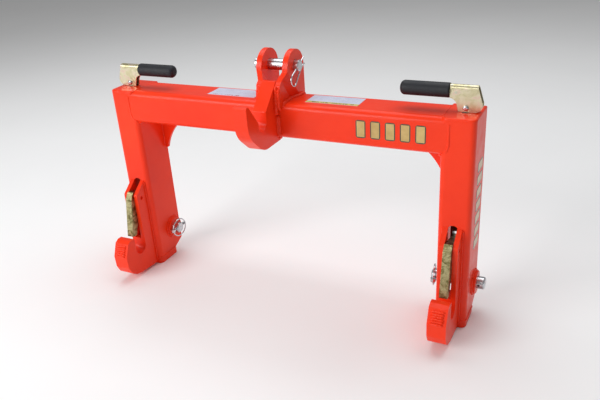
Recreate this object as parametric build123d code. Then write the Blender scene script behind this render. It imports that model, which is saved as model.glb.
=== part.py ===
from build123d import *
from math import cos, radians, sin
import os

os.makedirs("parts", exist_ok=True)

# Quick coupler for a three-point hitch, in millimetres.
# X runs along the common axis of the two lower hook seats, +X to the right seen from the implement.
# Y points to the tractor and Z up.  The origin is midway between the two lower hook seats.

# ---- overall layout ----
HOOK_X = 412.0             # each lower hook, leg and latch is centred this far from the middle
FRAME_FRONT_Y = 55.5       # front faces of the legs and the cross tube
FRAME_TOP_Z = 404.2
FRAME_WALL = 6.35
CROSS_DEPTH = 100.0
CROSS_HEIGHT = 80.0
CROSS_RADIUS = 15.0        # outer corner radius of the cross tube

# ---- legs: folded channels, open towards the tractor ----
LEG_INNER_X = 378.5
LEG_WIDTH = 70.0
LEG_DEPTH = 101.6
LEG_RADIUS = 12.0          # outer radius of the two folded front corners
LEG_BOTTOM_Z = -63.0
LEG_STEP_Y = 125.0         # behind this the leg's lower edge slopes up
LEG_REAR_BOTTOM_Z = -46.0
CAP_THICK = 6.0
CAP_EDGE = 4.0
FOOT_THICK = 18.0
FOOT_REAR_Y = 124.5
SLOT_HALF = 12.2           # slot in the front wall that the latch works through
SLOT_BOTTOM_Z = 8.0
SLOT_TOP_Z = 171.0
BOSS_RADIUS = 27.0
BOSS_THICK = 8.0

# ---- inner corner gusset ----
GUSSET_THICK = 8.0
GUSSET_Y = 147.0
GUSSET_REACH = 80.5        # along the tube's underside
GUSSET_DROP = 95.5         # down the leg
GUSSET_LIP = 9.0           # straight ends of the free edge
GUSSET_BELLY_X = 31.5      # where the concave edge comes nearest the corner
GUSSET_BELLY_Z = 49.2

# ---- mast and upper hook ----
EAR_THICK = 12.7
EAR_INNER_X = 25.4         # inner faces of the ears at the top link pin
HOOK_PLATE_HALF = 16.0     # half the upper hook plate's thickness, where the ears clamp it
MAST_PIN_Y = 116.5
MAST_PIN_Z = 475.5
EAR_ROUND_Z = 470.0
EAR_ROUND_R = 41.0
BEND_TOP_Y = 76.0          # the upper bend line starts here on the ear's front edge
BEND_TOP_Z = 471.0
BEND_SLOPE = -51.0         # direction of both bend lines, degrees from +Y
BEND_GAP = 22.0            # distance between the two bend lines
UPPER_SEAT_Y = -11.5
UPPER_SEAT_Z = 381.0
UPPER_SEAT_R = 17.5

# ---- lower hooks ----
LOWER_SEAT_R = 19.05
CHEEK_THICK = 11.0
CORE_HALF = 9.35           # half the core's thickness
CORE_REAR_Z = 14.0         # the core stays below the latch's swing

# ---- latch ----
LATCH_HALF = 8.8
LATCH_PIVOT_Y = 35.0
LATCH_PIVOT_Z = 126.0
LATCH_PIVOT_R = 5.0
PIVOT_RECESS = 4.0         # the pivot pin stops short of each cheek's outer face
YOKE_PIN_R = 6.0
YOKE_PIN_Z = 110.9
TAIL_SLOT_R = 6.3
TAIL_SLOT_NEAR = 71.0      # tail slot ends, as distances from the latch pivot
TAIL_SLOT_FAR = 73.1

# ---- lift rod, yoke and spring ----
ROD_X = 417.0
ROD_Y = 106.3
ROD_R = 6.35
TONGUE_THICK = 8.0         # the rod is milled flat where it runs inside the lever bracket
TONGUE_BOTTOM_Z = 377.0
EYE_R = 8.0
LEVER_PIVOT_Z = 413.4
YOKE_INNER_X = 398.0
YOKE_OUTER_X = 430.0
YOKE_DEPTH = 20.0
YOKE_BOTTOM_Z = 101.0
YOKE_TOP_Z = 160.0
YOKE_SLOT_Z = 137.5
YOKE_SLOT_HALF = 9.2
ROD_BOTTOM_Z = 143.0
BUSH_R = 11.0
FLANGE_R = 17.0
FLANGE_THICK = 6.0
COLLAR_R = 14.0
COLLAR_LENGTH = 12.0
COLLAR_TOP_Z = 302.0
SPRING_MEAN_R = 11.0
SPRING_WIRE_R = 2.0
SPRING_TURNS = 8

# ---- lever ----
BRACKET_WIDTH = 15.0       # channel width along Y, with a full-radius top
BRACKET_PLATE = 3.0
BRACKET_TOP = 45.8         # heights and reaches below are measured from the lever pivot
BRACKET_BOTTOM = -8.9
HEEL_R = 16.0
HEEL_X = 16.7
HEEL_Z = 7.1
OUTER_EDGE_TILT = 16.7     # lean of the outer edge, degrees
OUTER_EDGE_REACH = 34.0    # distance of the outer edge from the pivot
TANG_REACH = 126.0
TANG_LOW = 22.5
RIVET_R = 4.0
RIVET_HEAD_R = 6.0
RIVET_HEAD = 4.0
GRIP_R = 15.0
GRIP_Z = 32.5
GRIP_NEAR = 33.0
GRIP_FAR = 135.5
GRIP_ROUND = 10.0

# ---- lower link pins ----
LINK_PIN_Y = 127.5
LINK_PIN_R = 14.3
LINK_PIN_INNER_X = 353.5
LINK_PIN_OUTER_X = 474.0
ROLL_PIN_R = 3.0
LINK_ROLL_X = 462.0
LINK_ROLL_LENGTH = 30.0
LYNCH_X = 361.5
LYNCH_R = 3.9
LYNCH_HEAD_R = 6.0
LYNCH_HEAD_Y = 103.5
LYNCH_TIP_Y = 156.0
RING_WIRE_R = 1.6
RING_MEAN_R = 24.0
RING_TILT = 8.0

# ---- top link pin and its clip ----
TOP_PIN_R = 12.7
TOP_PIN_LEFT_X = -60.0
TOP_PIN_RIGHT_X = 50.0
TOP_ROLL_X = -47.0
TOP_ROLL_LENGTH = 38.0
CLIP_X = 45.0
CLIP_WIRE_R = 1.75
CLIP_LOOP_Y = 91.0
CLIP_LOOP_Z = 449.5
CLIP_LOOP_R = 13.5
CLIP_LEG_ANGLE = 23.8      # direction of the straight leg, degrees from +Y
CLIP_LEG_REACH = 30.0
CLIP_HUG_R = 14.9
CLIP_HUG_ANGLE = -46.6

# ---- labels ----
LABEL_THICK = 0.3
LABEL_FRONT_Y = 85.0
LABEL_REAR_Y = 138.0

# ---- fits ----
RUNNING_FIT = 0.05
CROSS_HOLE_FIT = 0.02
RING_HOLE_FIT = 0.7

CROSS_BOTTOM_Z = FRAME_TOP_Z - CROSS_HEIGHT
CROSS_REAR_Y = FRAME_FRONT_Y + CROSS_DEPTH
CAP_BOTTOM_Z = FRAME_TOP_Z - CAP_THICK
LEG_OUTER_X = LEG_INNER_X + LEG_WIDTH
LEG_REAR_Y = FRAME_FRONT_Y + LEG_DEPTH
FLANGE_BOTTOM_Z = CAP_BOTTOM_Z - FLANGE_THICK
CHEEK_OUTER = CORE_HALF + CHEEK_THICK


def profile(corners):
    """Closed face from (u, v, corner radius) triples."""
    points = [(u, v) for u, v, _ in corners]
    radii = [radius for _, _, radius in corners]
    return make_face(FilletPolyline(*points, radius=radii, close=True))


def plate_x(corners, x0, x1):
    """A (y, z) outline given thickness from x0 to x1."""
    return extrude(Plane.YZ.offset(x0) * profile(corners), x1 - x0)


def plate_y(corners, y0, y1):
    """An (x, z) outline given thickness from y0 to y1."""
    return extrude(Plane.XZ.offset(-y0) * profile(corners), amount=y1 - y0, dir=(0, 1, 0))


def block(x0, x1, y0, y1, z0, z1):
    """Box between two opposite corners."""
    corner = (Align.MIN, Align.MIN, Align.MIN)
    return Pos(x0, y0, z0) * Box(x1 - x0, y1 - y0, z1 - z0, align=corner)


def shaft(start, direction, radius, length):
    """Cylinder that starts at a point and runs along a direction."""
    foot = (Align.CENTER, Align.CENTER, Align.MIN)
    return Plane(origin=start, z_dir=direction) * Cylinder(radius, length, align=foot)


def pin_x(x0, x1, y, z, radius, chamfer_size=0.0):
    """Pin along X, with both ends chamfered when a size is given."""
    pin = shaft((x0, y, z), (1, 0, 0), radius, x1 - x0)
    if chamfer_size > 0:
        pin = chamfer(pin.edges().filter_by(GeomType.CIRCLE), chamfer_size)
    return pin


def leg_bar(margin, rear_y, z0, z1):
    """Upright bar with the leg's rounded front corners, shrunk at the sides and front by the margin."""
    section = profile([
        (LEG_INNER_X + margin, FRAME_FRONT_Y + margin, LEG_RADIUS - margin),
        (LEG_OUTER_X - margin, FRAME_FRONT_Y + margin, LEG_RADIUS - margin),
        (LEG_OUTER_X - margin, rear_y, 0),
        (LEG_INNER_X + margin, rear_y, 0),
    ])
    return Pos(0, 0, z0) * extrude(section, z1 - z0)


def cross_bar(margin, half_length):
    """Solid bar with the cross tube's rounded section, shrunk on every side by the margin."""
    section = RectangleRounded(CROSS_DEPTH - 2 * margin, CROSS_HEIGHT - 2 * margin, CROSS_RADIUS - margin)
    middle = Pos(FRAME_FRONT_Y + CROSS_DEPTH / 2, FRAME_TOP_Z - CROSS_HEIGHT / 2)
    return extrude(Plane.YZ.offset(-half_length) * middle * section, 2 * half_length)


# ---- frame ----

def make_cross_tube():
    """Cross tube, coped at both ends round the legs' rounded front corners."""
    half = LEG_INNER_X + LEG_RADIUS
    tube = cross_bar(0, half) - cross_bar(FRAME_WALL, half + 1)
    leg = leg_bar(0, LEG_REAR_Y, CROSS_BOTTOM_Z - 1, FRAME_TOP_Z + 1)
    return tube - leg - mirror(leg, Plane.YZ)


def make_leg():
    """Leg channel: stepped lower edge, latch slot in front and the link pin's holes."""
    leg = leg_bar(0, LEG_REAR_Y, LEG_BOTTOM_Z, CAP_BOTTOM_Z)
    leg -= leg_bar(FRAME_WALL, LEG_REAR_Y + 1, LEG_BOTTOM_Z - 1, CAP_BOTTOM_Z + 1)
    heel = [
        (LEG_STEP_Y, LEG_BOTTOM_Z - 1, 0),
        (LEG_REAR_Y + 1, LEG_BOTTOM_Z - 1, 0),
        (LEG_REAR_Y + 1, LEG_REAR_BOTTOM_Z, 0),
        (LEG_STEP_Y, LEG_BOTTOM_Z, 0),
    ]
    leg -= plate_x(heel, LEG_INNER_X - 1, LEG_OUTER_X + 1)
    slot = [
        (HOOK_X - SLOT_HALF, SLOT_BOTTOM_Z, 3.0),
        (HOOK_X + SLOT_HALF, SLOT_BOTTOM_Z, 3.0),
        (HOOK_X + SLOT_HALF, SLOT_TOP_Z, SLOT_HALF - 0.01),
        (HOOK_X - SLOT_HALF, SLOT_TOP_Z, SLOT_HALF - 0.01),
    ]
    leg -= plate_y(slot, FRAME_FRONT_Y - 1, FRAME_FRONT_Y + FRAME_WALL + 1)
    return leg - pin_x(LEG_INNER_X - 1, LEG_OUTER_X + 1, LINK_PIN_Y, 0, LINK_PIN_R + RUNNING_FIT)


def make_cap():
    """Leg cap with rounded top edges and a hole for the guide bush."""
    cap = leg_bar(0, LEG_REAR_Y, CAP_BOTTOM_Z, FRAME_TOP_Z)
    cap = fillet(cap.edges().group_by(Axis.Z)[-1], CAP_EDGE)
    return cap - shaft((ROD_X, ROD_Y, CAP_BOTTOM_Z - 1), (0, 0, 1), BUSH_R, CAP_THICK + 2)


def make_foot():
    """Thick plate that closes the leg's lower end ahead of the link space."""
    low_z = LEG_BOTTOM_Z - FOOT_THICK
    foot = block(LEG_INNER_X, LEG_OUTER_X, FRAME_FRONT_Y, FOOT_REAR_Y, low_z, LEG_BOTTOM_Z)
    front = foot.edges().filter_by(Axis.Z).group_by(Axis.Y)[0]
    foot = fillet(front, LEG_RADIUS)
    return chamfer(foot.edges().group_by(Axis.Z)[0].group_by(Axis.Y)[-1], 2.0)


def make_bosses():
    """Two round bosses, welded outside and inside the leg round the link pin."""
    reach = BOSS_THICK + 1
    bore = pin_x(LEG_INNER_X - reach, LEG_OUTER_X + reach, LINK_PIN_Y, 0, LINK_PIN_R + RUNNING_FIT)
    bosses = []
    for x, outward in ((LEG_OUTER_X, 1), (LEG_INNER_X, -1)):
        disc = shaft((x, LINK_PIN_Y, 0), (outward, 0, 0), BOSS_RADIUS, BOSS_THICK)
        rim = disc.edges().filter_by(GeomType.CIRCLE).sort_by(Axis.X)[-1 if outward > 0 else 0]
        bosses.append(chamfer(rim, 1.5) - bore)
    return Compound(children=bosses)


def make_gusset():
    """Corner plate with a concave free edge, coped round the cross tube's rear lower corner."""
    top = CROSS_BOTTOM_Z
    coped = CROSS_BOTTOM_Z + CROSS_RADIUS
    side = LEG_INNER_X
    lip_start = (side - GUSSET_REACH, top - GUSSET_LIP)
    lip_end = (side - GUSSET_LIP, top - GUSSET_DROP)
    belly = (side - GUSSET_BELLY_X, top - GUSSET_BELLY_Z)
    outline = Curve() + [
        Line((side, coped), (side - GUSSET_REACH, coped)),
        Line((side - GUSSET_REACH, coped), lip_start),
        ThreePointArc(lip_start, belly, lip_end),
        Line(lip_end, (side, top - GUSSET_DROP)),
        Line((side, top - GUSSET_DROP), (side, coped)),
    ]
    face = Plane.XZ.offset(-GUSSET_Y) * make_face(outline)
    return extrude(face, amount=GUSSET_THICK, dir=(0, 1, 0)) - cross_bar(0, LEG_INNER_X + 1)


def make_ear():
    """Mast ear: flat at the pin, joggled inwards below the bend lines to clamp the hook plate."""
    along = Vector(0, cos(radians(BEND_SLOPE)), sin(radians(BEND_SLOPE)))
    down = Vector(0, sin(radians(BEND_SLOPE)), -cos(radians(BEND_SLOPE)))
    reach = 160.0
    joggle = [
        (-reach, EAR_INNER_X, 0),
        (0, EAR_INNER_X, 8.0),
        (BEND_GAP, HOOK_PLATE_HALF, 8.0),
        (reach, HOOK_PLATE_HALF, 0),
        (reach, HOOK_PLATE_HALF + EAR_THICK, 0),
        (BEND_GAP, HOOK_PLATE_HALF + EAR_THICK, 8.0),
        (0, EAR_INNER_X + EAR_THICK, 8.0),
        (-reach, EAR_INNER_X + EAR_THICK, 0),
    ]
    bend_start = Vector(0, BEND_TOP_Y, BEND_TOP_Z) - along * reach
    section = Plane(origin=bend_start, x_dir=down, z_dir=-along) * profile(joggle)
    plate = extrude(section, amount=2 * reach, dir=along)
    rear_y = MAST_PIN_Y + EAR_ROUND_R
    front_y = MAST_PIN_Y - EAR_ROUND_R
    foot_z = CAP_BOTTOM_Z - CAP_THICK
    outline = [
        (51.0, FRAME_TOP_Z - 3, 0),
        (53.0, 445.0, 6.0),
        (62.0, 452.0, 6.0),
        (front_y, EAR_ROUND_Z, 0),
        (rear_y, EAR_ROUND_Z, 0),
        (rear_y, FRAME_TOP_Z, 0),
        (CROSS_REAR_Y, foot_z, 0),
        (FRAME_FRONT_Y, foot_z, 0),
    ]
    outer_x = EAR_INNER_X + EAR_THICK + 1
    plate &= plate_x(outline, 0, outer_x) + pin_x(0, outer_x, MAST_PIN_Y, EAR_ROUND_Z, EAR_ROUND_R)
    plate -= cross_bar(0, LEG_INNER_X)
    return plate - pin_x(0, outer_x, MAST_PIN_Y, MAST_PIN_Z, TOP_PIN_R + RUNNING_FIT)


def make_upper_hook():
    """Thick upper hook plate, notched round the cross tube, with guide slopes into its seat."""
    seat_rear_y = UPPER_SEAT_Y + UPPER_SEAT_R
    outline = [
        (105.0, FRAME_TOP_Z, 0),
        (67.0, 453.0, 3.0),
        (59.5, 453.0, 3.0),
        (seat_rear_y, 400.5, 3.0),
        (seat_rear_y, UPPER_SEAT_Z, 0),
        (UPPER_SEAT_Y - UPPER_SEAT_R, UPPER_SEAT_Z, 0),
        (UPPER_SEAT_Y - UPPER_SEAT_R, 388.0, 4.0),
        (-64.0, 433.0, 2.5),
        (-73.0, 433.0, 2.5),
        (-73.0, 369.8, 60.0),
        (-14.5, 319.0, 55.0),
        (63.0, 319.0, 0),
        (72.0, CROSS_BOTTOM_Z, 0),
        (105.0, CROSS_BOTTOM_Z, 0),
    ]
    hook = plate_x(outline, -HOOK_PLATE_HALF, HOOK_PLATE_HALF)
    hook -= cross_bar(0, HOOK_PLATE_HALF + 1)
    return hook - pin_x(-HOOK_PLATE_HALF - 1, HOOK_PLATE_HALF + 1, UPPER_SEAT_Y, UPPER_SEAT_Z, UPPER_SEAT_R)


# ---- lower hooks ----

def hook_outline():
    """Side outline of a lower hook, with the mouth still filled below the seat's centre."""
    return [
        (FRAME_FRONT_Y, 167.0, 0),
        (LOWER_SEAT_R, 138.5, 6.0),
        (LOWER_SEAT_R, 0, 0),
        (-LOWER_SEAT_R, 0, 0),
        (-LOWER_SEAT_R, 29.0, 2.0),
        (-21.5, 34.0, 2.0),
        (-34.5, 34.5, 6.0),
        (-45.5, 28.5, 2.5),
        (-59.5, -4.5, 4.0),
        (-58.0, -35.0, 20.0),
        (-48.0, -55.0, 12.0),
        (-33.5, -65.0, 12.0),
        (-13.0, -71.0, 12.0),
        (19.0, -73.0, 20.0),
        (FRAME_FRONT_Y, -76.0, 0),
    ]


def hook_slab(x0, x1):
    """A slice of the lower hook with its round seat cut."""
    return plate_x(hook_outline(), x0, x1) - pin_x(x0 - 1, x1 + 1, 0, 0, LOWER_SEAT_R)


def make_cheeks():
    """Two cheek plates either side of the latch, drilled for its pivot."""
    inner = hook_slab(HOOK_X - CHEEK_OUTER, HOOK_X - CORE_HALF)
    outer = hook_slab(HOOK_X + CORE_HALF, HOOK_X + CHEEK_OUTER)
    hole = pin_x(LEG_INNER_X, LEG_OUTER_X, LATCH_PIVOT_Y, LATCH_PIVOT_Z, LATCH_PIVOT_R + CROSS_HOLE_FIT)
    return Compound(children=[inner - hole, outer - hole])


def make_core():
    """Core between the cheeks, low behind the seat so that the latch can swing over it."""
    core = hook_slab(HOOK_X - CORE_HALF, HOOK_X + CORE_HALF)
    return core - block(LEG_INNER_X, LEG_OUTER_X, 0, FRAME_FRONT_Y + 1, CORE_REAR_Z, FRAME_TOP_Z)


def make_latch_pivot():
    """Plain pin across both cheeks, sunk below their outer faces."""
    reach = CHEEK_OUTER - PIVOT_RECESS
    return pin_x(HOOK_X - reach, HOOK_X + reach, LATCH_PIVOT_Y, LATCH_PIVOT_Z, LATCH_PIVOT_R)


def make_latch():
    """Flame-cut latch: a long finger over the seat, and a tail slotted for the yoke pin."""
    half_tail = 14.0
    outline = [
        (-9.5, 31.0, 1.5),
        (6.0, 30.0, 3.0),
        (24.0, 72.0, 20.0),
        (45.0, 100.0, 20.0),
        (96.0, YOKE_PIN_Z - half_tail, 0),
        (ROD_Y, YOKE_PIN_Z, 0),
        (ROD_Y + 3.3, YOKE_PIN_Z + 13.6, 0),
        (20.5, 146.0, 2.0),
        (9.0, 131.0, 2.0),
    ]
    x0 = HOOK_X - LATCH_HALF
    x1 = HOOK_X + LATCH_HALF
    latch = plate_x(outline, x0, x1) + pin_x(x0, x1, ROD_Y, YOKE_PIN_Z, half_tail)
    latch -= pin_x(x0 - 1, x1 + 1, LATCH_PIVOT_Y, LATCH_PIVOT_Z, LATCH_PIVOT_R + RUNNING_FIT)
    reach = Vector(0, ROD_Y - LATCH_PIVOT_Y, YOKE_PIN_Z - LATCH_PIVOT_Z).normalized()
    length = TAIL_SLOT_FAR - TAIL_SLOT_NEAR
    middle = Vector(x0 - 1, LATCH_PIVOT_Y, LATCH_PIVOT_Z) + reach * (TAIL_SLOT_NEAR + length / 2)
    slot = SlotCenterToCenter(length, 2 * TAIL_SLOT_R)
    return latch - extrude(Plane(origin=middle, x_dir=reach, z_dir=(1, 0, 0)) * slot, x1 - x0 + 2)


# ---- lift rod ----

def make_guide_bush():
    """Flanged bush in the leg cap: it guides the rod and seats the spring."""
    bush = shaft((ROD_X, ROD_Y, CAP_BOTTOM_Z), (0, 0, 1), BUSH_R, CAP_THICK - 0.2)
    bush += shaft((ROD_X, ROD_Y, FLANGE_BOTTOM_Z), (0, 0, 1), FLANGE_R, FLANGE_THICK)
    return bush - shaft((ROD_X, ROD_Y, 0), (0, 0, 1), ROD_R + RUNNING_FIT, FRAME_TOP_Z)


def make_lift_rod():
    """Round rod, milled to a flat tongue with an eye at the top and drilled for the collar's pin."""
    rod = shaft((ROD_X, ROD_Y, ROD_BOTTOM_Z), (0, 0, 1), ROD_R, LEVER_PIVOT_Z - ROD_BOTTOM_Z)
    half = TONGUE_THICK / 2
    for y0, y1 in ((ROD_Y - ROD_R - 1, ROD_Y - half), (ROD_Y + half, ROD_Y + ROD_R + 1)):
        rod -= block(ROD_X - ROD_R - 1, ROD_X + ROD_R + 1, y0, y1, TONGUE_BOTTOM_Z, LEVER_PIVOT_Z + 1)
    rod += shaft((ROD_X, ROD_Y - half, LEVER_PIVOT_Z), (0, 1, 0), EYE_R, TONGUE_THICK)
    rod -= shaft((ROD_X, ROD_Y - EYE_R, LEVER_PIVOT_Z), (0, 1, 0), RIVET_R + RUNNING_FIT, 2 * EYE_R)
    cross_z = COLLAR_TOP_Z - COLLAR_LENGTH / 2
    return rod - shaft((ROD_X - COLLAR_R, ROD_Y, cross_z), (1, 0, 0), ROLL_PIN_R, 2 * COLLAR_R)


def make_collar():
    """Collar under the spring, held to the rod by a roll pin."""
    cross_z = COLLAR_TOP_Z - COLLAR_LENGTH / 2
    collar = shaft((ROD_X, ROD_Y, COLLAR_TOP_Z - COLLAR_LENGTH), (0, 0, 1), COLLAR_R, COLLAR_LENGTH)
    collar = chamfer(collar.edges().filter_by(GeomType.CIRCLE), 1.0)
    collar -= shaft((ROD_X, ROD_Y, ROD_BOTTOM_Z), (0, 0, 1), ROD_R, FRAME_TOP_Z)
    cross = shaft((ROD_X - COLLAR_R + 1, ROD_Y, cross_z), (1, 0, 0), ROLL_PIN_R, 2 * COLLAR_R - 2)
    return Compound(children=[collar - cross, cross])


def make_spring():
    """Compression spring from the bush's flange down to the collar."""
    length = FLANGE_BOTTOM_Z - COLLAR_TOP_Z - 2 * SPRING_WIRE_R - 0.6
    start_z = COLLAR_TOP_Z + SPRING_WIRE_R + 0.3
    path = Helix(length / SPRING_TURNS, length, SPRING_MEAN_R, center=(ROD_X, ROD_Y, start_z))
    section = Plane(origin=path @ 0, z_dir=path % 0) * Circle(SPRING_WIRE_R)
    return sweep(section, path=path, is_frenet=True)


def make_yoke():
    """Forked block on the rod's lower end that straddles the latch's tail."""
    y0 = ROD_Y - YOKE_DEPTH / 2
    y1 = ROD_Y + YOKE_DEPTH / 2
    yoke = block(YOKE_INNER_X, YOKE_OUTER_X, y0, y1, YOKE_BOTTOM_Z, YOKE_TOP_Z)
    yoke = fillet(yoke.edges().filter_by(Axis.X), 4.0)
    half = YOKE_SLOT_HALF
    yoke -= block(HOOK_X - half, HOOK_X + half, y0 - 1, y1 + 1, YOKE_BOTTOM_Z - 1, YOKE_SLOT_Z)
    yoke -= pin_x(YOKE_INNER_X - 1, YOKE_OUTER_X + 1, ROD_Y, YOKE_PIN_Z, YOKE_PIN_R + CROSS_HOLE_FIT)
    return yoke - shaft((ROD_X, ROD_Y, ROD_BOTTOM_Z), (0, 0, 1), ROD_R, LEG_WIDTH)


def make_yoke_pin():
    """Headed pin through the yoke and the latch's tail slot."""
    shank = pin_x(YOKE_INNER_X - 2, YOKE_OUTER_X, ROD_Y, YOKE_PIN_Z, YOKE_PIN_R)
    shank = chamfer(shank.edges().filter_by(GeomType.CIRCLE).sort_by(Axis.X)[0], 1.0)
    return shank + pin_x(YOKE_OUTER_X, YOKE_OUTER_X + 3, ROD_Y, YOKE_PIN_Z, YOKE_PIN_R + 2)


# ---- lever ----

def channel_bar(half_width, top):
    """Bar along X with a full-radius top, from the grip's end of the lever to its outer edge."""
    section = profile([
        (-half_width, BRACKET_BOTTOM - 1, 0),
        (half_width, BRACKET_BOTTOM - 1, 0),
        (half_width, top, half_width - 0.01),
        (-half_width, top, half_width - 0.01),
    ])
    start = Plane.YZ.offset(ROD_X - TANG_REACH) * Pos(ROD_Y, LEVER_PIVOT_Z) * section
    return extrude(start, TANG_REACH + OUTER_EDGE_REACH + HEEL_R)


def bracket_outline():
    """Side outline of the lever bracket, measured from its pivot."""
    tilt = radians(OUTER_EDGE_TILT)
    corner_x = (OUTER_EDGE_REACH - BRACKET_TOP * sin(tilt)) / cos(tilt)
    heel_low = (HEEL_X, BRACKET_BOTTOM)
    heel_mid = (HEEL_X + HEEL_R * cos(radians(-37)), HEEL_Z + HEEL_R * sin(radians(-37)))
    heel_high = (HEEL_X + HEEL_R * cos(tilt), HEEL_Z + HEEL_R * sin(tilt))
    inner_top = (-GRIP_NEAR, 19.0)
    return Curve() + [
        Line((-15.0, BRACKET_BOTTOM), heel_low),
        ThreePointArc(heel_low, heel_mid, heel_high),
        Line(heel_high, (corner_x, BRACKET_TOP)),
        Line((corner_x, BRACKET_TOP), (-TANG_REACH, BRACKET_TOP)),
        Line((-TANG_REACH, BRACKET_TOP), (-TANG_REACH, TANG_LOW)),
        Line((-TANG_REACH, TANG_LOW), (-GRIP_NEAR, TANG_LOW)),
        Line((-GRIP_NEAR, TANG_LOW), inner_top),
        ThreePointArc(inner_top, (-23.0, 14.0), (-18.0, 2.0)),
        Line((-18.0, 2.0), (-15.0, BRACKET_BOTTOM)),
    ]


def bracket_side():
    """The bracket's side outline as a thick slab across its full width."""
    start = Plane.XZ.offset(-(ROD_Y - BRACKET_WIDTH)) * Pos(ROD_X, LEVER_PIVOT_Z)
    return extrude(start * make_face(bracket_outline()), amount=2 * BRACKET_WIDTH, dir=(0, 1, 0))


def make_bracket():
    """Folded lever bracket: a channel with two side plates, riveted to the rod's eye."""
    half = BRACKET_WIDTH / 2
    shell = channel_bar(half, BRACKET_TOP) - channel_bar(half - BRACKET_PLATE, BRACKET_TOP - BRACKET_PLATE)
    bracket = shell & bracket_side()
    return bracket - shaft((ROD_X, ROD_Y - half - 1, LEVER_PIVOT_Z), (0, 1, 0), RIVET_R, BRACKET_WIDTH + 2)


def make_rivet():
    """Pivot rivet with a low domed head on each side."""
    half = BRACKET_WIDTH / 2
    rivet = shaft((ROD_X, ROD_Y - half, LEVER_PIVOT_Z), (0, 1, 0), RIVET_R, BRACKET_WIDTH)
    for side in (-1, 1):
        head = shaft((ROD_X, ROD_Y + side * half, LEVER_PIVOT_Z), (0, side, 0), RIVET_HEAD_R, RIVET_HEAD)
        rim = head.edges().filter_by(GeomType.CIRCLE).sort_by(Axis.Y)[-1 if side > 0 else 0]
        rivet += fillet(rim, RIVET_HEAD - 0.6)
    return rivet


def make_grip():
    """Rubber sleeve moulded over the lever's tang."""
    length = GRIP_FAR - GRIP_NEAR
    sleeve = shaft((ROD_X - GRIP_NEAR, ROD_Y, LEVER_PIVOT_Z + GRIP_Z), (-1, 0, 0), GRIP_R, length)
    ends = sleeve.edges().filter_by(GeomType.CIRCLE).sort_by(Axis.X)
    sleeve = fillet(ends[0], GRIP_ROUND)
    collar = sleeve.edges().filter_by(GeomType.CIRCLE).sort_by(Axis.X)[-1]
    sleeve = fillet(collar, 3.0)
    tang = channel_bar(BRACKET_WIDTH / 2, BRACKET_TOP) & bracket_side()
    return sleeve - tang


# ---- lower link pin ----

def make_link_pin():
    """Lower link pin, cross drilled for a roll pin outside and a lynch pin inside."""
    pin = pin_x(LINK_PIN_INNER_X, LINK_PIN_OUTER_X, LINK_PIN_Y, 0, LINK_PIN_R, 2.5)
    reach = 2 * LINK_PIN_R
    pin -= shaft((LINK_ROLL_X, LINK_PIN_Y - reach, 0), (0, 1, 0), ROLL_PIN_R, 2 * reach)
    return pin - shaft((LYNCH_X, LINK_PIN_Y - reach, 0), (0, 1, 0), LYNCH_R + CROSS_HOLE_FIT, 2 * reach)


def make_link_roll_pin():
    """Roll pin through the link pin's outer end, almost flush with it."""
    start = (LINK_ROLL_X, LINK_PIN_Y - LINK_ROLL_LENGTH / 2, 0)
    return roll_pin(start, (0, 1, 0), LINK_ROLL_LENGTH)


def roll_pin(start, direction, length):
    """Hollow spring pin with chamfered ends."""
    pin = shaft(start, direction, ROLL_PIN_R, length)
    pin = chamfer(pin.edges().filter_by(GeomType.CIRCLE), 0.6)
    end = Vector(start) + Vector(direction) * length
    for point, inward in ((Vector(start), Vector(direction)), (end, -Vector(direction))):
        pin -= shaft(point - inward, inward, ROLL_PIN_R / 2, 6.0)
    return pin


def make_lynch_pin():
    """Lynch pin: a round shank with a pointed tip and a flat round head drilled for its ring."""
    shank = shaft((LYNCH_X, LYNCH_HEAD_Y, 0), (0, 1, 0), LYNCH_R, LYNCH_TIP_Y - LYNCH_HEAD_Y)
    shank = chamfer(shank.edges().filter_by(GeomType.CIRCLE).sort_by(Axis.Y)[-1], 2.2)
    head = shaft((LYNCH_X, LYNCH_HEAD_Y, -4), (0, 0, 1), LYNCH_HEAD_R, 8)
    hole = shaft((LYNCH_X, LYNCH_HEAD_Y, -8), (0, 0, 1), RING_WIRE_R + RING_HOLE_FIT, 16)
    return shank + head - hole


def make_lynch_ring():
    """Wire ring through the lynch pin's head, lying beside the tip with the link pin inside it."""
    tilt = radians(RING_TILT)
    centre = (LYNCH_X - RING_MEAN_R * sin(tilt), LYNCH_HEAD_Y + RING_MEAN_R * cos(tilt), 0)
    ring = Torus(RING_MEAN_R, RING_WIRE_R)
    return Plane(origin=centre, x_dir=(0, 0, 1), z_dir=(cos(tilt), sin(tilt), 0)) * ring


# ---- top link pin ----

def make_top_pin():
    """Top link pin, cross drilled for a roll pin on the left and a clip on the right."""
    pin = pin_x(TOP_PIN_LEFT_X, TOP_PIN_RIGHT_X, MAST_PIN_Y, MAST_PIN_Z, TOP_PIN_R, 2.0)
    reach = 2 * TOP_PIN_R
    pin -= shaft((TOP_ROLL_X, MAST_PIN_Y, MAST_PIN_Z - reach), (0, 0, 1), ROLL_PIN_R, 2 * reach)
    leg = clip_leg_direction()
    start = Vector(CLIP_X, MAST_PIN_Y, MAST_PIN_Z) - leg * reach
    return pin - shaft(start, leg, CLIP_WIRE_R + RUNNING_FIT, 2 * reach)


def make_top_roll_pin():
    """Roll pin through the top link pin's left end."""
    start = (TOP_ROLL_X, MAST_PIN_Y, MAST_PIN_Z - TOP_ROLL_LENGTH / 2)
    return roll_pin(start, (0, 0, 1), TOP_ROLL_LENGTH)


def clip_leg_direction():
    """Direction of the clip's straight leg."""
    return Vector(0, cos(radians(CLIP_LEG_ANGLE)), sin(radians(CLIP_LEG_ANGLE)))


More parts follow.
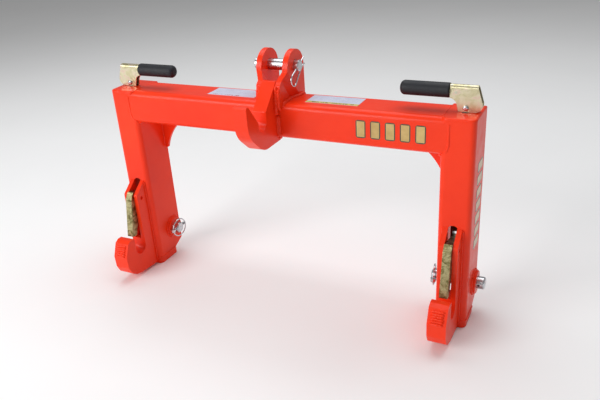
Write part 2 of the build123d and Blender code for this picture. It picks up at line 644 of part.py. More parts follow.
def make_r_clip():
    """Spring clip: straight leg through the pin, a round loop, and an outer leg round the pin."""
    leg = radians(CLIP_LEG_ANGLE)
    hug = radians(CLIP_HUG_ANGLE)
    loop_start = (CLIP_LOOP_Y - CLIP_LOOP_R * sin(leg), CLIP_LOOP_Z + CLIP_LOOP_R * cos(leg))
    leg_end = (MAST_PIN_Y + CLIP_LEG_REACH * cos(leg), MAST_PIN_Z + CLIP_LEG_REACH * sin(leg))
    loop_sweep = 360 + CLIP_HUG_ANGLE - 90 - CLIP_LEG_ANGLE
    loop_end = (CLIP_LOOP_Y + CLIP_LOOP_R * cos(hug), CLIP_LOOP_Z + CLIP_LOOP_R * sin(hug))
    touch = (MAST_PIN_Y + CLIP_HUG_R * cos(hug), MAST_PIN_Z + CLIP_HUG_R * sin(hug))
    outer = Line(loop_end, touch)
    path = Curve() + [
        Line(leg_end, loop_start),
        CenterArc((CLIP_LOOP_Y, CLIP_LOOP_Z), CLIP_LOOP_R, 90 + CLIP_LEG_ANGLE, loop_sweep),
        outer,
        TangentArc(touch, (touch[0] + 20, touch[1] + 8), tangent=outer % 1),
    ]
    wire = Plane.YZ.offset(CLIP_X) * Wire(path.edges())
    section = Plane(origin=wire @ 0, z_dir=wire % 0) * Circle(CLIP_WIRE_R)
    return sweep(section, path=wire)


# ---- labels ----

def make_top_label(x0, x1):
    """Thin label on the cross tube's top face."""
    return block(x0, x1, LABEL_FRONT_Y, LABEL_REAR_Y, FRAME_TOP_Z, FRAME_TOP_Z + LABEL_THICK)


def make_badge():
    """Row of five plain upright bars on the cross tube's front face."""
    bars = []
    bar_width = 22.0
    for index in range(5):
        x0 = 200.0 + index * 32.0
        bar = block(x0, x0 + bar_width, FRAME_FRONT_Y - LABEL_THICK, FRAME_FRONT_Y, 345.5, 384.5)
        bars.append(fillet(bar.edges().filter_by(Axis.Y), 5.0))
    return Compound(children=bars)


def make_side_strip():
    """Row of plain rounded bars down a leg's outer face."""
    bars = []
    bar_height = 22.0
    for index in range(7):
        z0 = 98.0 + index * 30.0
        bar = block(LEG_OUTER_X, LEG_OUTER_X + LABEL_THICK, 96.0, 141.0, z0, z0 + bar_height)
        bars.append(fillet(bar.edges().filter_by(Axis.X), 6.0))
    return Compound(children=bars)


# ---- write the files ----

def save(node, shape):
    """Write one sub-part."""
    export_step(shape, "parts/" + node + ".step")


def save_pair(node, shape):
    """Write a right-hand sub-part and its mirror image."""
    save(node + "_right", shape)
    save(node + "_left", mirror(shape, Plane.YZ))


save("cross_tube", make_cross_tube())
save_pair("leg_channel", make_leg())
save_pair("leg_cap", make_cap())
save_pair("leg_foot", make_foot())
save_pair("pin_bosses", make_bosses())
save_pair("corner_gusset", make_gusset())
save_pair("mast_ear", make_ear())
save("upper_hook", make_upper_hook())
save_pair("hook_cheeks", make_cheeks())
save_pair("hook_core", make_core())
save_pair("latch_pivot", make_latch_pivot())
save_pair("latch", make_latch())
save_pair("guide_bush", make_guide_bush())
save_pair("lift_rod", make_lift_rod())
save_pair("rod_collar", make_collar())
save_pair("rod_spring", make_spring())
save_pair("rod_yoke", make_yoke())
save_pair("yoke_pin", make_yoke_pin())
save_pair("lever_bracket", make_bracket())
save_pair("lever_rivet", make_rivet())
save_pair("lever_grip", make_grip())
save_pair("link_pin", make_link_pin())
save_pair("link_roll_pin", make_link_roll_pin())
save_pair("lynch_pin", make_lynch_pin())
save_pair("lynch_ring", make_lynch_ring())
save("top_pin", make_top_pin())
save("top_roll_pin", make_top_roll_pin())
save("r_clip", make_r_clip())
save("label_right", make_top_label(71.0, 193.5))
save("label_left", make_top_label(-181.0, -56.0))
save("tube_badge", make_badge())
save("leg_strip", make_side_strip())
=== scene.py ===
import math
import random

import bpy
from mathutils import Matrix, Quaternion, Vector, noise


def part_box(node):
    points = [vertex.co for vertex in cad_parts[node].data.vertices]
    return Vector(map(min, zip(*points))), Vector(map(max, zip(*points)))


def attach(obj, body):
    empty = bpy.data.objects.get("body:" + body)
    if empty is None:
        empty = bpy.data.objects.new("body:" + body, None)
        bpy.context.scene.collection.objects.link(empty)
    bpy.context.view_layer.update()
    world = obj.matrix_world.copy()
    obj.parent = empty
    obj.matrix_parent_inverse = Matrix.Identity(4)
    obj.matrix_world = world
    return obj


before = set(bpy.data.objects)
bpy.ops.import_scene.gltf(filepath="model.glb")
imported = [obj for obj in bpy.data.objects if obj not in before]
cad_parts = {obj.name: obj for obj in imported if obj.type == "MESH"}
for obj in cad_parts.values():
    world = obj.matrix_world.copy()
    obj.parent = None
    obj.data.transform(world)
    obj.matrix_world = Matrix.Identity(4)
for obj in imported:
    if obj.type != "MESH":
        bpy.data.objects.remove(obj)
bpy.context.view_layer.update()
random.seed(11)

MM = 0.001
SIDE_SIGNS = (1.0, -1.0)   # right, then left
X_AXIS, Y_AXIS, Z_AXIS = 0, 1, 2

# ---- places read from the frame ----
TUBE_LOW, TUBE_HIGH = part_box("cross_tube")
LEG_LOW, LEG_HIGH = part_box("leg_channel_right")
_, CAP_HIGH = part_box("leg_cap_right")
FOOT_LOW, FOOT_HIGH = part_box("leg_foot_right")
CHEEK_LOW, CHEEK_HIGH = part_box("hook_cheeks_right")
CORE_LOW, CORE_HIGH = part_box("hook_core_right")
_, PLATE_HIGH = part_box("upper_hook")
EAR_LOW, EAR_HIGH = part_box("mast_ear_right")
BOSS_LOW, BOSS_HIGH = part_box("pin_bosses_right")
GUSSET_LOW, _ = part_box("corner_gusset_right")

FRONT_Y = TUBE_LOW[1]
REAR_Y = TUBE_HIGH[1]
TOP_Z = CAP_HIGH[2]
UNDER_Z = TUBE_LOW[2]
LEG_INNER = LEG_LOW[0]
LEG_OUTER = LEG_HIGH[0]
CORNER = 12 * MM           # radius of the leg's front corners
TUBE_CORNER = 15 * MM      # radius of the cross tube's corners
EAR_THICKNESS = 12.7 * MM


# ---- node helpers ----

def new_material(name):
    """Empty material with a Principled shader; returns the material, its nodes, links and shader."""
    material = bpy.data.materials.new(name)
    material.use_nodes = True
    tree = material.node_tree
    return material, tree.nodes, tree.links, tree.nodes["Principled BSDF"]


def object_coords(nodes):
    """Coordinates fixed to the object, in metres."""
    return nodes.new("ShaderNodeTexCoord").outputs["Object"]


def noise_of(nodes, links, vector, scale, detail=4.0, rough=0.55, distortion=0.0):
    """Noise value at a scale."""
    node = nodes.new("ShaderNodeTexNoise")
    node.inputs["Scale"].default_value = scale
    node.inputs["Detail"].default_value = detail
    node.inputs["Roughness"].default_value = rough
    node.inputs["Distortion"].default_value = distortion
    links.new(vector, node.inputs["Vector"])
    return node.outputs["Fac"]


def stretched(nodes, links, vector, scale):
    """Coordinates scaled by a different amount on each axis."""
    node = nodes.new("ShaderNodeMapping")
    node.inputs["Scale"].default_value = scale
    links.new(vector, node.inputs["Vector"])
    return node.outputs["Vector"]


def ramp_of(nodes, links, value, stops):
    """Colour ramp; stops are (position, (r, g, b))."""
    node = nodes.new("ShaderNodeValToRGB")
    elements = node.color_ramp.elements
    while len(elements) < len(stops):
        elements.new(0.5)
    for element, (position, colour) in zip(elements, stops):
        element.position = position
        element.color = (*colour, 1)
    links.new(value, node.inputs["Fac"])
    return node.outputs["Color"]


def span_of(nodes, links, value, low, high, out_low, out_high):
    """Value mapped from one range to another."""
    node = nodes.new("ShaderNodeMapRange")
    for key, number in (("From Min", low), ("From Max", high), ("To Min", out_low), ("To Max", out_high)):
        node.inputs[key].default_value = number
    links.new(value, node.inputs["Value"])
    return node.outputs["Result"]


def maths(nodes, links, operation, first, second=None, third=None):
    """Maths node on sockets or plain numbers."""
    node = nodes.new("ShaderNodeMath")
    node.operation = operation
    for socket, given in zip(node.inputs, (first, second, third)):
        if given is None:
            continue
        if isinstance(given, (int, float)):
            socket.default_value = given
        else:
            links.new(given, socket)
    return node.outputs["Value"]


def mix_of(nodes, links, factor, first, second):
    """Mix of two colours, given as sockets or triples."""
    node = nodes.new("ShaderNodeMix")
    node.data_type = "RGBA"
    sockets = [s for s in node.inputs if s.type == "RGBA"]
    for socket, given in zip(sockets, (first, second)):
        if isinstance(given, tuple):
            socket.default_value = (*given, 1)
        else:
            links.new(given, socket)
    links.new(factor, node.inputs[0])
    return [s for s in node.outputs if s.type == "RGBA"][0]


def bump_of(nodes, links, heights, shader):
    """Chain of bumps; heights are (height socket, strength, distance)."""
    normal = None
    for height, strength, distance in heights:
        node = nodes.new("ShaderNodeBump")
        node.inputs["Strength"].default_value = strength
        node.inputs["Distance"].default_value = distance
        links.new(height, node.inputs["Height"])
        if normal is not None:
            links.new(normal, node.inputs["Normal"])
        normal = node.outputs["Normal"]
    links.new(normal, shader.inputs["Normal"])
    return normal


# ---- materials ----

def make_paint(name, lumps=0.0):
    """Thick glossy orange-red enamel: slight mottling, orange peel and faint dust."""
    material, nodes, links, shader = new_material(name)
    where = object_coords(nodes)
    mottle = noise_of(nodes, links, where, 9.0, detail=5.0)
    enamel = [(0.3, (0.90, 0.032, 0.004)), (0.7, (0.99, 0.044, 0.006))]
    dust_colour = (0.72, 0.12, 0.06)
    colour = ramp_of(nodes, links, mottle, enamel)
    specks = noise_of(nodes, links, where, 55.0, detail=8.0, rough=0.7)
    dust = span_of(nodes, links, specks, 0.62, 0.80, 0.0, 0.10)
    colour = mix_of(nodes, links, dust, colour, dust_colour)
    links.new(colour, shader.inputs["Base Color"])
    rough = span_of(nodes, links, noise_of(nodes, links, where, 35.0), 0.3, 0.7, 0.30, 0.44)
    links.new(rough, shader.inputs["Roughness"])
    shader.inputs["Specular IOR Level"].default_value = 0.22
    shader.inputs["Coat Weight"].default_value = 0.12
    shader.inputs["Coat Roughness"].default_value = 0.10
    peel = noise_of(nodes, links, where, 420.0, detail=2.0)
    wave = noise_of(nodes, links, where, 22.0, detail=3.0)
    heights = [(wave, 0.20, 0.0010), (peel, 0.14, 0.0003)]
    if lumps > 0:
        heights.append((noise_of(nodes, links, where, 190.0, detail=3.0), lumps, 0.0014))
    bump_of(nodes, links, heights, shader)
    return material


def make_yellow_zinc(name):
    """Yellow passivated zinc: a metal film that shifts through straw, pink and green."""
    material, nodes, links, shader = new_material(name)
    where = object_coords(nodes)
    film = noise_of(nodes, links, where, 38.0, detail=3.0, rough=0.5, distortion=1.6)
    stops = [
        (0.28, (0.52, 0.47, 0.27)),
        (0.42, (0.62, 0.57, 0.36)),
        (0.52, (0.70, 0.64, 0.46)),
        (0.60, (0.72, 0.55, 0.44)),
        (0.68, (0.58, 0.60, 0.46)),
        (0.78, (0.64, 0.58, 0.38)),
    ]
    links.new(ramp_of(nodes, links, film, stops), shader.inputs["Base Color"])
    shader.inputs["Metallic"].default_value = 1.0
    grain = noise_of(nodes, links, stretched(nodes, links, where, (220, 220, 16)), 6.0, detail=3.0)
    links.new(span_of(nodes, links, grain, 0.25, 0.75, 0.26, 0.46), shader.inputs["Roughness"])
    pits = noise_of(nodes, links, where, 300.0, detail=4.0)
    bump_of(nodes, links, [(grain, 0.22, 0.0003), (pits, 0.25, 0.0004)], shader)
    return material


def make_cut_zinc(name):
    """Flame-cut steel under yellow zinc: drag lines across the edge, with pitting between them."""
    material, nodes, links, shader = new_material(name)
    where = object_coords(nodes)
    film = noise_of(nodes, links, where, 60.0, detail=4.0, rough=0.6, distortion=1.2)
    stops = [
        (0.30, (0.07, 0.06, 0.02)),
        (0.44, (0.22, 0.19, 0.08)),
        (0.58, (0.44, 0.39, 0.21)),
        (0.72, (0.20, 0.18, 0.09)),
    ]
    links.new(ramp_of(nodes, links, film, stops), shader.inputs["Base Color"])
    shader.inputs["Metallic"].default_value = 1.0
    links.new(span_of(nodes, links, film, 0.3, 0.7, 0.30, 0.50), shader.inputs["Roughness"])
    drag = noise_of(nodes, links, stretched(nodes, links, where, (20, 90, 420)), 1.0, detail=3.0)
    pits = noise_of(nodes, links, where, 150.0, detail=4.0)
    bump_of(nodes, links, [(drag, 0.7, 0.0016), (pits, 0.5, 0.0014)], shader)
    return material


def make_metal(name, colour, dark, rough_low, rough_high, scale, stretch=(1, 1, 1)):
    """Plain plated or oiled steel with fine turning marks and stains."""
    material, nodes, links, shader = new_material(name)
    where = object_coords(nodes)
    stain = noise_of(nodes, links, where, 45.0, detail=5.0)
    links.new(ramp_of(nodes, links, stain, [(0.3, dark), (0.65, colour)]), shader.inputs["Base Color"])
    shader.inputs["Metallic"].default_value = 1.0
    marks = noise_of(nodes, links, stretched(nodes, links, where, stretch), scale, detail=3.0)
    links.new(span_of(nodes, links, marks, 0.3, 0.7, rough_low, rough_high), shader.inputs["Roughness"])
    bump_of(nodes, links, [(marks, 0.2, 0.0002), (stain, 0.15, 0.0003)], shader)
    return material


def make_rubber(name):
    """Dull black dipped vinyl with fine grain and a few dusty rub marks."""
    material, nodes, links, shader = new_material(name)
    where = object_coords(nodes)
    dust = noise_of(nodes, links, where, 30.0, detail=6.0, rough=0.7)
    stops = [(0.42, (0.003, 0.004, 0.007)), (0.75, (0.008, 0.010, 0.016))]
    links.new(ramp_of(nodes, links, dust, stops), shader.inputs["Base Color"])
    links.new(span_of(nodes, links, dust, 0.3, 0.7, 0.50, 0.68), shader.inputs["Roughness"])
    grain = noise_of(nodes, links, where, 900.0, detail=2.0)
    bump_of(nodes, links, [(grain, 0.30, 0.0003), (dust, 0.25, 0.0006)], shader)
    return material


def separate(nodes, links, vector):
    """X, Y and Z of a vector."""
    node = nodes.new("ShaderNodeSeparateXYZ")
    links.new(vector, node.inputs["Vector"])
    return node.outputs["X"], node.outputs["Y"], node.outputs["Z"]


def inside(nodes, links, value, low, high):
    """1 between two limits, else 0."""
    above = maths(nodes, links, "GREATER_THAN", value, low)
    below = maths(nodes, links, "LESS_THAN", value, high)
    return maths(nodes, links, "MULTIPLY", above, below)


def make_label(name, node, band, band_colour, dash_colour, dash_span):
    """Pale film with faint rows of plain dashes and a dashed line or band along its front edge."""
    material, nodes, links, shader = new_material(name)
    low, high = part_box(node)
    where = object_coords(nodes)
    x, y, _ = separate(nodes, links, where)
    across = span_of(nodes, links, x, low[0], high[0], 0.0, 1.0)
    along = span_of(nodes, links, y, low[1], high[1], 0.0, 1.0)
    age = noise_of(nodes, links, where, 40.0, detail=4.0)
    colour = ramp_of(nodes, links, age, [(0.3, (0.60, 0.63, 0.80)), (0.7, (0.70, 0.73, 0.88))])
    row_count = 8.0
    print_colour = (0.30, 0.31, 0.42)
    print_strength = 0.45
    rows = maths(nodes, links, "FRACT", maths(nodes, links, "MULTIPLY", along, row_count))
    wobble = noise_of(nodes, links, stretched(nodes, links, where, (260, 150, 1)), 1.0, detail=1.0)
    dash = maths(nodes, links, "GREATER_THAN", wobble, 0.50)
    lines = maths(nodes, links, "MULTIPLY", inside(nodes, links, rows, 0.35, 0.65), dash)
    lines = maths(nodes, links, "MULTIPLY", lines, inside(nodes, links, across, 0.08, 0.92))
    lines = maths(nodes, links, "MULTIPLY", lines, inside(nodes, links, along, 0.34, 0.90))
    lines = maths(nodes, links, "MULTIPLY", lines, print_strength)
    colour = mix_of(nodes, links, lines, colour, print_colour)
    if band_colour is not None:
        colour = mix_of(nodes, links, inside(nodes, links, along, band[0], band[1]), colour, band_colour)
    middle = (band[0] + band[1]) / 2
    half = (band[1] - band[0]) * 0.28
    front = inside(nodes, links, across, dash_span[0], dash_span[1])
    front = maths(nodes, links, "MULTIPLY", front, dash)
    front_row = inside(nodes, links, along, middle - half, middle + half)
    front = maths(nodes, links, "MULTIPLY", front, front_row)
    colour = mix_of(nodes, links, front, colour, dash_colour)
    links.new(colour, shader.inputs["Base Color"])
    shader.inputs["Roughness"].default_value = 0.30
    shader.inputs["Coat Weight"].default_value = 0.3
    bump_of(nodes, links, [(noise_of(nodes, links, where, 60.0), 0.1, 0.0004)], shader)
    return material


def make_gold(name, low, high, pitch_axis, cross_axis, pitch, size):
    """Gold film blocks with a dark green outline. They repeat along pitch_axis and fill cross_axis."""
    material, nodes, links, shader = new_material(name)
    where = object_coords(nodes)
    sockets = separate(nodes, links, where)
    rim = 2.4 * MM
    step = maths(nodes, links, "SUBTRACT", sockets[pitch_axis], low[pitch_axis])
    step = maths(nodes, links, "MODULO", step, pitch)
    core = inside(nodes, links, step, rim, size - rim)
    width = inside(nodes, links, sockets[cross_axis], low[cross_axis] + rim, high[cross_axis] - rim)
    core = maths(nodes, links, "MULTIPLY", core, width)
    grain = noise_of(nodes, links, where, 50.0, detail=4.0)
    gold = ramp_of(nodes, links, grain, [(0.3, (0.50, 0.32, 0.09)), (0.7, (0.66, 0.46, 0.16))])
    outline = (0.035, 0.045, 0.02)
    links.new(mix_of(nodes, links, core, outline, gold), shader.inputs["Base Color"])
    shader.inputs["Roughness"].default_value = 0.32
    shader.inputs["Coat Weight"].default_value = 0.4
    bump_of(nodes, links, [(grain, 0.08, 0.0003)], shader)
    return material


PAINT = make_paint("orange_enamel")
WELD_PAINT = make_paint("orange_enamel_weld", 0.7)
ZINC = make_yellow_zinc("yellow_zinc")
CUT_ZINC = make_cut_zinc("yellow_zinc_cut")
BRIGHT = make_metal("bright_zinc", (0.66, 0.67, 0.69), (0.42, 0.43, 0.45), 0.18, 0.36, 10.0, (80, 12, 12))
WIRE = make_metal("bright_wire", (0.72, 0.74, 0.77), (0.50, 0.51, 0.54), 0.12, 0.26, 30.0)
DARK = make_metal("oiled_steel", (0.20, 0.20, 0.21), (0.10, 0.10, 0.10), 0.30, 0.50, 12.0, (40, 40, 8))
SPRING = make_metal("spring_steel", (0.32, 0.33, 0.35), (0.16, 0.16, 0.17), 0.22, 0.38, 60.0)
RUBBER = make_rubber("grip_rubber")

STRIP_LOW, STRIP_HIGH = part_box("leg_strip")
BADGE_LOW, BADGE_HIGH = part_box("tube_badge")
BADGE_PITCH = 32 * MM
STRIP_PITCH = 30 * MM
BLOCK = 22 * MM
BADGE_GOLD = make_gold("badge_gold", BADGE_LOW, BADGE_HIGH, X_AXIS, Z_AXIS, BADGE_PITCH, BLOCK)
STRIP_GOLD = make_gold("strip_gold", STRIP_LOW, STRIP_HIGH, Z_AXIS, Y_AXIS, STRIP_PITCH, BLOCK)
LABEL_RIGHT = make_label(
    "label_right_film", "label_right", band=(0.01, 0.20), band_colour=(0.70, 0.58, 0.12),
    dash_colour=(0.06, 0.05, 0.03), dash_span=(0.08, 0.92))
LABEL_LEFT = make_label(
    "label_left_film", "label_left", band=(0.02, 0.18), band_colour=None,
    dash_colour=(0.45, 0.03, 0.03), dash_span=(0.10, 0.70))

LOOKS = {
    "latch": CUT_ZINC,
    "lever_bracket": ZINC,
    "lever_rivet": WIRE,
    "link_pin": BRIGHT,
    "top_pin": BRIGHT,
    "lynch_pin": BRIGHT,
    "lynch_ring": WIRE,
    "r_clip": WIRE,
    "link_roll_pin": DARK,
    "top_roll_pin": DARK,
    "rod_collar": DARK,
    "rod_yoke": DARK,
    "yoke_pin": BRIGHT,
    "lift_rod": BRIGHT,
    "guide_bush": DARK,
    "rod_spring": SPRING,
    "lever_grip": RUBBER,
    "label_right": LABEL_RIGHT,
    "label_left": LABEL_LEFT,
    "tube_badge": BADGE_GOLD,
    "leg_strip": STRIP_GOLD,
}
# edge rounding in mm, for the nodes whose edges show
SOFT_EDGE = {"latch": 1.2, "hook_cheeks": 1.2, "hook_core": 1.2, "mast_ear": 1.2, "upper_hook": 1.6,
             "leg_foot": 1.4, "corner_gusset": 0.8, "leg_channel": 0.6, "lever_bracket": 0.5, "link_pin": 0.4}


MERGE_DISTANCE = 0.02 * MM
SHARP_ANGLE = math.radians(40)


def dress(node, part):
    """Gives a CAD node its material and slightly rounded edges."""
    base = node.replace("_right", "").replace("_left", "")
    look = LOOKS.get(node, LOOKS.get(base, PAINT))
    for entry in part.material_slots:
        entry.material = look
    if base in SOFT_EDGE:
        weld = part.modifiers.new("merge", "WELD")
        weld.merge_threshold = MERGE_DISTANCE
        bevel = part.modifiers.new("edges", "BEVEL")
        bevel.width = SOFT_EDGE[base] * MM
        bevel.segments = 2
        bevel.limit_method = "ANGLE"
        bevel.angle_limit = SHARP_ANGLE
        bevel.harden_normals = False
        flow = part.modifiers.new("flow", "WEIGHTED_NORMAL")
        flow.keep_sharp = False


for node_name, node_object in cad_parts.items():
    dress(node_name, node_object)


# ---- weld beads ----

RIPPLE = 4.2 * MM          # distance between a bead's ripples
STEPS_PER_RIPPLE = 3
BEAD_SIDES = 8
# bead radii in metres
BEAD = {name: size * MM for name, size in (
    ("gusset", 2.4), ("slim", 2.6), ("plain", 3.0), ("patch", 3.2), ("behind", 3.4),
    ("under", 3.6), ("outer", 4.4), ("plate", 4.6), ("ear", 4.8), ("corner", 5.0))}


class Beads:
    """Collects lumpy weld beads into one mesh."""

    def __init__(self):
        self.verts = []
        self.faces = []

    def run(self, points, radius, closed=False, ripple=RIPPLE):
        """A bead along straight runs between points, in metres."""
        path = resample([Vector(p) for p in points], ripple / STEPS_PER_RIPPLE, closed)
        count = len(path)
        sides = BEAD_SIDES
        start = len(self.verts)
        phase = random.uniform(0, 6.28)
        seed = Vector((random.uniform(-9, 9), random.uniform(-9, 9), random.uniform(-9, 9)))
        for index, point in enumerate(path):
            before = path[index - 1] if index or closed else point
            after = path[(index + 1) % count] if index < count - 1 or closed else point
            ahead = (after - before).normalized()
            across = ahead.orthogonal().normalized()
            upward = ahead.cross(across)
            wave = math.sin(phase + index * 2 * math.pi / STEPS_PER_RIPPLE)
            swell = 1 + 0.10 * wave + 0.22 * noise.noise(point * 130 + seed)
            if not closed:
                swell *= min(1.0, 0.35 + 0.35 * min(index, count - 1 - index))
            drift = across * noise.noise(point * 60 + seed) * radius * 0.25
            for side in range(sides):
                angle = 2 * math.pi * side / sides
                spread = across * math.cos(angle) + upward * math.sin(angle)
                self.verts.append(point + drift + spread * radius * swell)
        last = count if closed else count - 1
        for index in range(last):
            for side in range(sides):
                here = start + index * sides
                there = start + ((index + 1) % count) * sides
                turned = (side + 1) % sides
                self.faces.append((here + side, here + turned, there + turned, there + side))
        if not closed:
            self.faces.append(tuple(start + side for side in reversed(range(sides))))
            self.faces.append(tuple(start + (count - 1) * sides + side for side in range(sides)))

    def build(self, name, body):
        """Turns the collected beads into one smooth object on a body."""
        mesh = bpy.data.meshes.new(name)
        mesh.from_pydata([tuple(v) for v in self.verts], [], self.faces)
        mesh.materials.append(WELD_PAINT)
        mesh.polygons.foreach_set("use_smooth", [True] * len(mesh.polygons))
        mesh.update()
        made = bpy.data.objects.new(name, mesh)
        bpy.context.collection.objects.link(made)
        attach(made, body)
        return made


def resample(points, step, closed):
    """Points about one step apart along the runs."""
    ends = points + points[:1] if closed else points
    spaced = []
    for first, second in zip(ends, ends[1:]):
        pieces = max(1, round((second - first).length / step))
        spaced += [first.lerp(second, k / pieces) for k in range(pieces)]
    if not closed:
        spaced.append(ends[-1])
    return spaced


def ring_points(centre, axis_x, radius, count=40):
    """Circle of points about an axis along X."""
    turn = [2 * math.pi * k / count for k in range(count)]
    return [(axis_x, centre[0] + radius * math.cos(a), centre[1] + radius * math.sin(a)) for a in turn]


def corner_arc(centre, start, end, radius, count=6):
    """Arc in (y, z) about a centre; angles in degrees from +Y."""
    angles = [math.radians(start + (end - start) * k / count) for k in range(count + 1)]
    return [(centre[0] + radius * math.cos(a), centre[1] + radius * math.sin(a)) for a in angles]


def mirrored(points, sign):
    """Points reflected to the other side when sign is -1."""
    return [(sign * x, y, z) for x, y, z in points]


def tube_end_beads(beads, sign):
    """Welds where the cross tube meets one leg: front, rear, under and top."""
    seam_x = LEG_INNER + CORNER + 5 * MM
    rear_in = REAR_Y - TUBE_CORNER
    front_in = FRONT_Y + TUBE_CORNER
    sunk = 1.6 * MM            # how far a bead's middle lies inside the face
    front = [
        (seam_x, FRONT_Y + sunk, TOP_Z - 12 * MM),
        (seam_x, FRONT_Y + sunk, UNDER_Z + 22 * MM),
        (seam_x - 4 * MM, FRONT_Y + sunk, UNDER_Z + 10 * MM),
        (LEG_INNER + 3 * MM, FRONT_Y + 4 * MM, UNDER_Z + 2 * MM),
    ]
    beads.run(mirrored(front, sign), BEAD["plain"])
    rear_x = LEG_INNER - 0.5 * MM
    rear = [(rear_x, REAR_Y - sunk, TOP_Z - 16 * MM), (rear_x, REAR_Y - sunk, UNDER_Z + 16 * MM)]
    beads.run(mirrored(rear, sign), BEAD["slim"])
    under_x = LEG_INNER - 1 * MM
    under_z = UNDER_Z - 0.6 * MM
    under = [(under_x, front_in - 8 * MM, under_z), (under_x, rear_in + 8 * MM, under_z)]
    beads.run(mirrored(under, sign), BEAD["under"])
    top_x = LEG_INNER + 1 * MM
    top = [
        (top_x, front_in - 6 * MM, TOP_Z - 3.2 * MM),
        (top_x, front_in, TOP_Z - 2 * MM),
        (top_x, rear_in, TOP_Z - 2 * MM),
        (top_x, rear_in + 6 * MM, TOP_Z - 3.2 * MM),
    ]
    beads.run(mirrored(top, sign), BEAD["slim"])


def hook_beads(beads, sign):
    """Welds beside the cheeks of a lower hook, and the rows of weld laid over the front of its core."""
    y = FRONT_Y - 1 * MM
    for x in (CHEEK_LOW[0] - 1 * MM, CHEEK_HIGH[0] + 1 * MM):
        side = [(x, y, CHEEK_LOW[2] + 6 * MM), (x, y, CHEEK_HIGH[2] - 3 * MM)]
        beads.run(mirrored(side, sign), BEAD["slim"])
    row_count = 6
    first_y, first_z = -48.3 * MM, 23 * MM
    step_y, step_z = 2.15 * MM, 5.0 * MM
    overlap = 6                # mm past the core's sides; it varies from row to row
    for row in range(row_count):
        y = first_y - row * step_y
        z = first_z - row * step_z
        inner_x = CORE_LOW[0] - (overlap - row % 2) * MM
        outer_x = CORE_HIGH[0] + (overlap - row % 3) * MM
        patch = [(inner_x, y, z), (outer_x, y, z)]
        beads.run(mirrored(patch, sign), BEAD["patch"], ripple=6.5 * MM)


def boss_beads(beads, sign):
    """Rings of weld round the lower link pin's bosses, inside and outside the leg."""
    boss = ((BOSS_LOW[1] + BOSS_HIGH[1]) / 2, (BOSS_LOW[2] + BOSS_HIGH[2]) / 2)
    radius = (BOSS_HIGH[1] - BOSS_LOW[1]) / 2 + 1.0 * MM
    stand_off = 0.6 * MM
    for x in (LEG_INNER - stand_off, LEG_OUTER + stand_off):
        beads.run(mirrored(ring_points(boss, x, radius), sign), BEAD["plain"], closed=True)


def foot_beads(beads, sign):
    """Weld round the foot plate, along the leg's sides and front corners."""
    seam_z = FOOT_HIGH[2]
    inset = 0.5 * MM
    turn = CORNER - inset
    centre_y = FRONT_Y + CORNER
    foot = [(LEG_INNER + inset, FOOT_HIGH[1], seam_z), (LEG_INNER + inset, centre_y, seam_z)]
    for a in (0.4, 0.8, 1.2, 1.57):
        foot.append((LEG_INNER + CORNER - turn * math.cos(a), centre_y - turn * math.sin(a), seam_z))
    for a in (0.0, 0.4, 0.8, 1.2):
        foot.append((LEG_OUTER - CORNER + turn * math.sin(a), centre_y - turn * math.cos(a), seam_z))
    foot += [(LEG_OUTER - inset, centre_y, seam_z), (LEG_OUTER - inset, FOOT_HIGH[1], seam_z)]
    beads.run(mirrored(foot, sign), BEAD["slim"])


def gusset_beads(beads, sign):
    """Weld along the front of the inner-corner gusset, under the tube and down the leg."""
    y = GUSSET_LOW[1] - 0.5 * MM
    leg_x = LEG_INNER - 0.5 * MM
    edge = [
        (GUSSET_LOW[0] + 2 * MM, y, UNDER_Z + 1.0 * MM),
        (LEG_INNER - 2 * MM, y, UNDER_Z + 1 * MM),
        (leg_x, y, UNDER_Z - 3 * MM),
        (leg_x, y, GUSSET_LOW[2] + 2 * MM),
    ]
    beads.run(mirrored(edge, sign), BEAD["gusset"])


def flat_run(beads, x, sign, points, radius, ripple=RIPPLE):
    """Bead through (y, z) points that all lie at one x."""
    beads.run(mirrored([(x, y, z) for y, z in points], sign), radius, ripple=ripple)


def fillet_weld(beads, x, sign, points, radius):
    """Wide weld laid as two overlapping runs along a plate's foot."""
    flat_run(beads, x + 1.0 * MM, sign, points, radius)
    second = [(y + 1.5 * MM, z) for y, z in points]
    flat_run(beads, x + 4.5 * MM, sign, second, radius * 0.9)


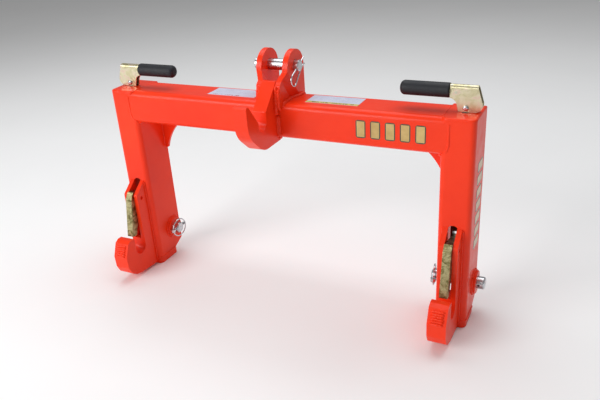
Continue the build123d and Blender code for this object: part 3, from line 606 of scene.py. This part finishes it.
def mast_beads(beads, sign):
    """Welds of the mast on one side: hook plate to tube, ear to hook plate, ear to tube."""
    plate_x = PLATE_HIGH[0]
    front = [(FRONT_Y - 3.0 * MM, UNDER_Z + 6 * MM), (FRONT_Y - 3.0 * MM, TOP_Z - 26 * MM)]
    fillet_weld(beads, plate_x, sign, front, BEAD["plate"])
    lower_centre = (FRONT_Y + TUBE_CORNER, UNDER_Z + TUBE_CORNER)
    lower = corner_arc(lower_centre, 190, 262, TUBE_CORNER + 1 * MM)
    flat_run(beads, plate_x + 1 * MM, sign, lower, BEAD["patch"])
    corner = [
        (FRONT_Y - 6 * MM, TOP_Z - 23 * MM),
        (FRONT_Y - 9 * MM, TOP_Z - 8 * MM),
        (FRONT_Y - 8 * MM, TOP_Z + 6 * MM),
        (FRONT_Y - 5 * MM, TOP_Z + 20 * MM),
        (FRONT_Y - 3 * MM, TOP_Z + 40 * MM),
    ]
    flat_run(beads, plate_x + 3.0 * MM, sign, corner, BEAD["corner"], ripple=7 * MM)
    outer = [
        (FRONT_Y - 1 * MM, TOP_Z - 14 * MM),
        (FRONT_Y - 5 * MM, TOP_Z - 2 * MM),
        (FRONT_Y - 5 * MM, TOP_Z + 10 * MM),
        (FRONT_Y - 3 * MM, TOP_Z + 34 * MM),
    ]
    flat_run(beads, plate_x + 9.0 * MM, sign, outer, BEAD["outer"], ripple=6 * MM)
    ear_low = EAR_LOW[0] + EAR_THICKNESS + 1 * MM
    ear_high = EAR_HIGH[0] + 1 * MM
    seam_z = TOP_Z + 0.6 * MM
    foot = [
        (ear_low, FRONT_Y + 2 * MM, TOP_Z - 5 * MM),
        (ear_low, FRONT_Y + 14 * MM, seam_z),
        (ear_low, FRONT_Y + 46 * MM, seam_z),
        (ear_high, FRONT_Y + 72 * MM, seam_z),
        (ear_high, REAR_Y - 16 * MM, seam_z),
        (ear_high, REAR_Y - 5 * MM, TOP_Z - 4 * MM),
    ]
    beads.run(mirrored(foot, sign), BEAD["ear"], ripple=5.5 * MM)
    behind_x = EAR_HIGH[0] - 13 * MM
    behind = [
        (PLATE_HIGH[0] + 2 * MM, FRONT_Y + 56 * MM, seam_z),
        (behind_x, FRONT_Y + 74 * MM, seam_z),
        (behind_x, REAR_Y - 14 * MM, seam_z),
    ]
    beads.run(mirrored(behind, sign), BEAD["behind"])


welds = Beads()
# each run draws random numbers, so the order of these calls decides how the beads look
for side_sign in SIDE_SIGNS:
    tube_end_beads(welds, side_sign)
    hook_beads(welds, side_sign)
    boss_beads(welds, side_sign)
    foot_beads(welds, side_sign)
    gusset_beads(welds, side_sign)
    mast_beads(welds, side_sign)
welds.build("weld_beads", "frame")


# ---- floor, lights and camera ----

def make_floor():
    """Plain pale floor just under the feet."""
    gap = 0.4 * MM
    reach = 14.0
    z = FOOT_LOW[2] - gap
    corners = [(-reach, -reach, z), (reach, -reach, z), (reach, reach, z), (-reach, reach, z)]
    mesh = bpy.data.meshes.new("floor")
    mesh.from_pydata(corners, [], [(0, 1, 2, 3)])
    material, nodes, links, shader = new_material("floor_white")
    tone = noise_of(nodes, links, object_coords(nodes), 2.0)
    greys = [(0.3, (0.93, 0.93, 0.93)), (0.7, (0.95, 0.95, 0.95))]
    links.new(ramp_of(nodes, links, tone, greys), shader.inputs["Base Color"])
    shader.inputs["Roughness"].default_value = 0.9
    mesh.materials.append(material)
    floor = bpy.data.objects.new("floor", mesh)
    bpy.context.collection.objects.link(floor)


def area_light(name, place, aim, size, power, colour):
    """Soft rectangular light that faces a point."""
    data = bpy.data.lights.new(name, "AREA")
    data.shape = "RECTANGLE"
    data.size, data.size_y = size
    data.energy = power
    data.color = colour
    lamp = bpy.data.objects.new(name, data)
    lamp.location = place
    lamp.rotation_euler = (Vector(aim) - Vector(place)).to_track_quat("-Z", "Y").to_euler()
    bpy.context.collection.objects.link(lamp)


make_floor()
AIM = (0, 0.1, 0.2)
# name, place, size, power in watts, colour
LIGHTS = (
    ("overhead", (0.0, 0.9, 3.0), (3.6, 2.4), 64, (0.97, 0.985, 1.0)),
    ("front_key", (-1.5, -2.6, 1.5), (2.2, 1.8), 70, (1, 1, 1)),
    ("left_fill", (-3.0, 0.2, 1.2), (1.6, 1.8), 3, (1, 1, 1)),
)
for light_name, light_place, light_size, light_power, light_colour in LIGHTS:
    area_light(light_name, light_place, AIM, light_size, light_power, light_colour)

WORLD_STRENGTH = 0.27
world = bpy.data.worlds.new("studio")
bpy.context.scene.world = world
world.use_nodes = True
background = world.node_tree.nodes["Background"]
background.inputs["Color"].default_value = (1, 1, 1, 1)
background.inputs["Strength"].default_value = WORLD_STRENGTH
bpy.context.scene.view_settings.view_transform = "Standard"

CAMERA_PLACE = Vector((0.6790, -1.1571, 0.8228))
CAMERA_TARGET = Vector((0.0362, 0.1000, 0.1522))
CAMERA_ROLL = math.radians(-3.8)
SENSOR_WIDTH = 36.0        # mm, as is the lens
LENS = 39.27
SHIFT_X, SHIFT_Y = -0.0004, 0.0016
camera_data = bpy.data.cameras.new("camera")
camera_data.sensor_width = SENSOR_WIDTH
camera_data.lens = LENS
camera_data.shift_x = SHIFT_X
camera_data.shift_y = SHIFT_Y
camera = bpy.data.objects.new("camera", camera_data)
camera.location = CAMERA_PLACE
level = (CAMERA_TARGET - CAMERA_PLACE).to_track_quat("-Z", "Y")
camera.rotation_mode = "QUATERNION"
camera.rotation_quaternion = level @ Quaternion((0, 0, 1), CAMERA_ROLL)
bpy.context.collection.objects.link(camera)
bpy.context.scene.camera = camera
